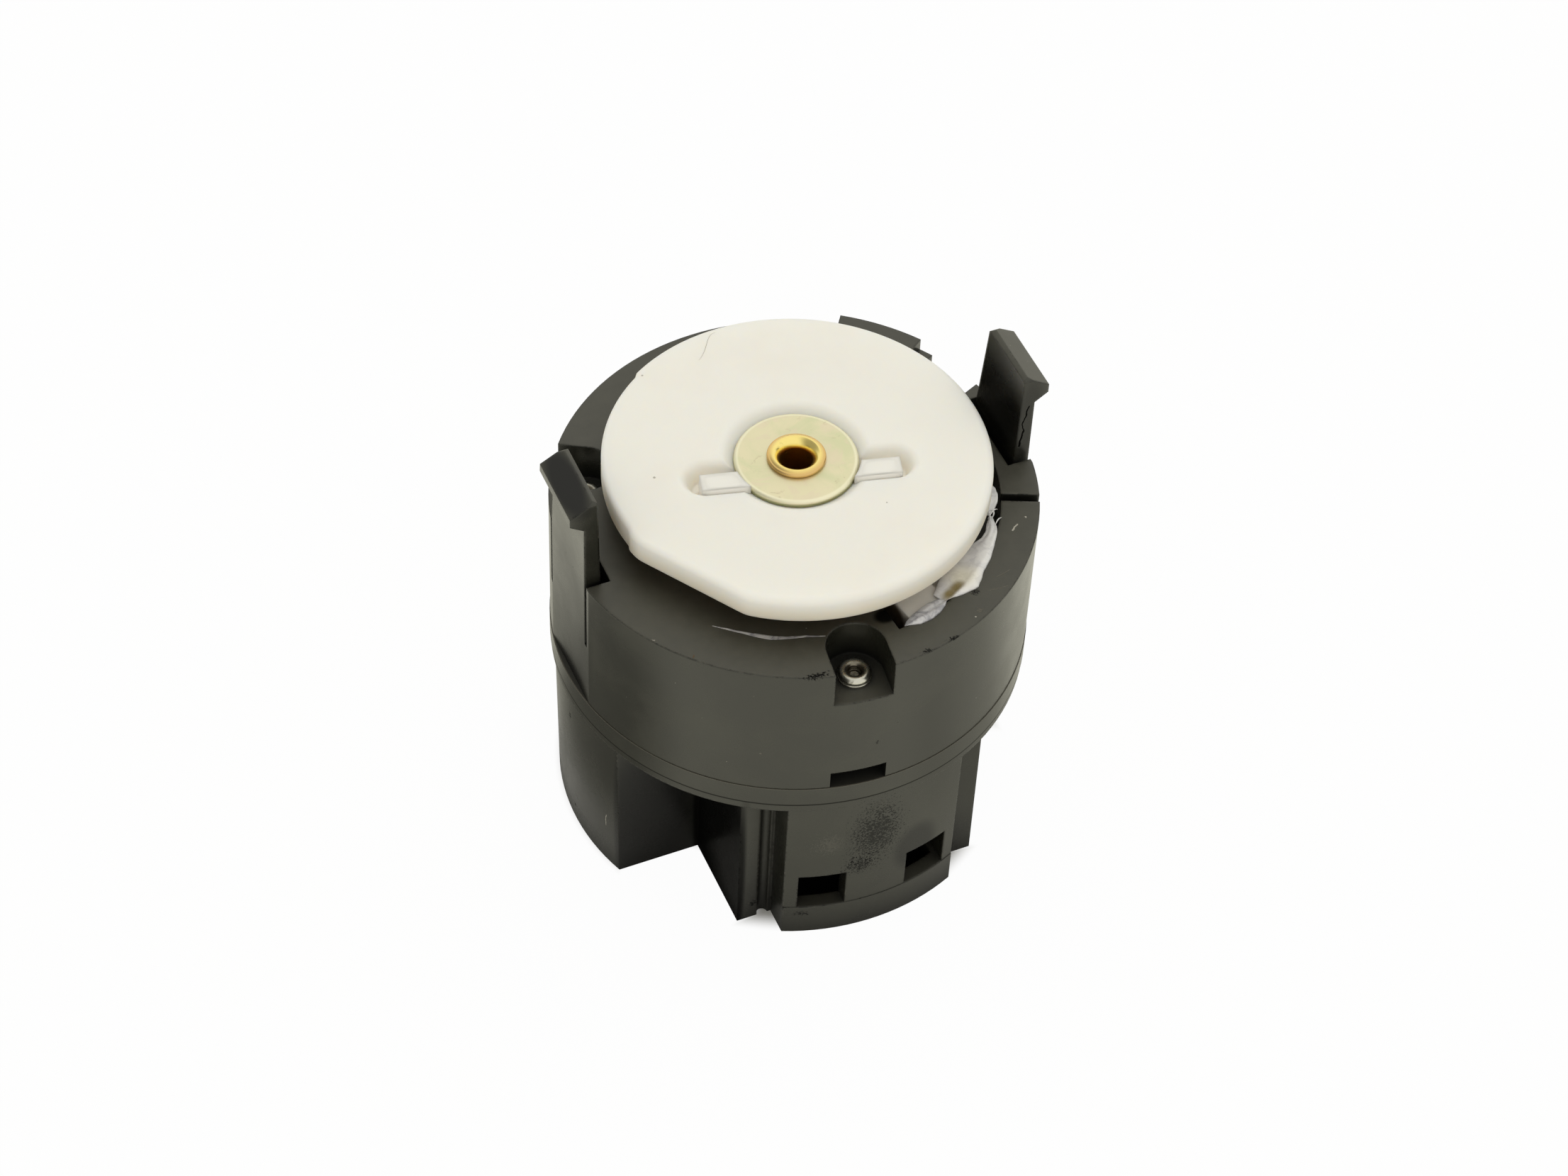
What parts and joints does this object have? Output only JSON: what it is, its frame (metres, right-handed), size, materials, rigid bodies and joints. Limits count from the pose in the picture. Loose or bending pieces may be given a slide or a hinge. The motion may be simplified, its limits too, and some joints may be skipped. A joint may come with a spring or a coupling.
{
  "type": "ignition switch",
  "caption": "Round black ignition switch with an ivory drive disc held by a brass eyelet, snap hooks on the rim and a connector socket with blade terminals below.",
  "frame": {"origin": "on the axis of rotation, at the mouth of the connector socket", "axes": "+Z along the axis of rotation towards the drive disc, X through the two snap hooks, -Y towards the latch wall of the socket"},
  "size_m": [0.0394, 0.0382, 0.0399],
  "materials": {
    "black_plastic": "satin moulded, greasy and scuffed",
    "ivory_plastic": "satin, slightly translucent",
    "yellow_zinc": "yellow passivated zinc",
    "brass": "bright rolled",
    "bright_steel": "bright",
    "contact_copper": "bright pressed"
  },
  "bodies": {
    "housing": {"upper_housing": "black_plastic", "terminal_plate": "black_plastic", "connector_housing": "black_plastic", "housing_rivets": "bright_steel", "retaining_washer": "yellow_zinc", "centre_eyelet": "brass", "battery_terminal": "brass", "ignition_terminal": "brass", "starter_terminal": "brass", "accessory_terminal": "brass", "lighting_terminal": "brass", "radio_terminal": "brass", "key_warning_terminal": "brass"},
    "rotor": {"drive_disc": "ivory_plastic", "cam_rotor": "ivory_plastic", "contact_spring": "bright_steel", "front_detent_spring": "bright_steel", "rear_detent_spring": "bright_steel"},
    "contact": {"contact_plate": "contact_copper"},
    "front_detent": {"front_detent_plunger": "bright_steel"},
    "rear_detent": {"rear_detent_plunger": "bright_steel"}
  },
  "joints": [
    {"name": "rotor_turn", "type": "hinge", "parent": "housing", "child": "rotor", "pos_m": [0, 0, 0.025], "axis": [0, 0, 1], "range_deg": [-4.5, 76]},
    {"name": "contact_lift", "type": "slide", "parent": "rotor", "child": "contact", "axis": [0, 0, 1], "range_m": [0, 0.0005], "stiffness_N_per_m": 1500, "springref_m": -0.0008, "deforming": ["contact_spring"]},
    {"name": "front_detent_press", "type": "slide", "parent": "rotor", "child": "front_detent", "axis": [0, 0, 1], "range_m": [0, 0.0005], "stiffness_N_per_m": 1000, "springref_m": 0.0013, "deforming": ["front_detent_spring"]},
    {"name": "rear_detent_press", "type": "slide", "parent": "rotor", "child": "rear_detent", "axis": [0, 0, 1], "range_m": [0, 0.0005], "stiffness_N_per_m": 1000, "springref_m": 0.0013, "deforming": ["rear_detent_spring"]}
  ]
}
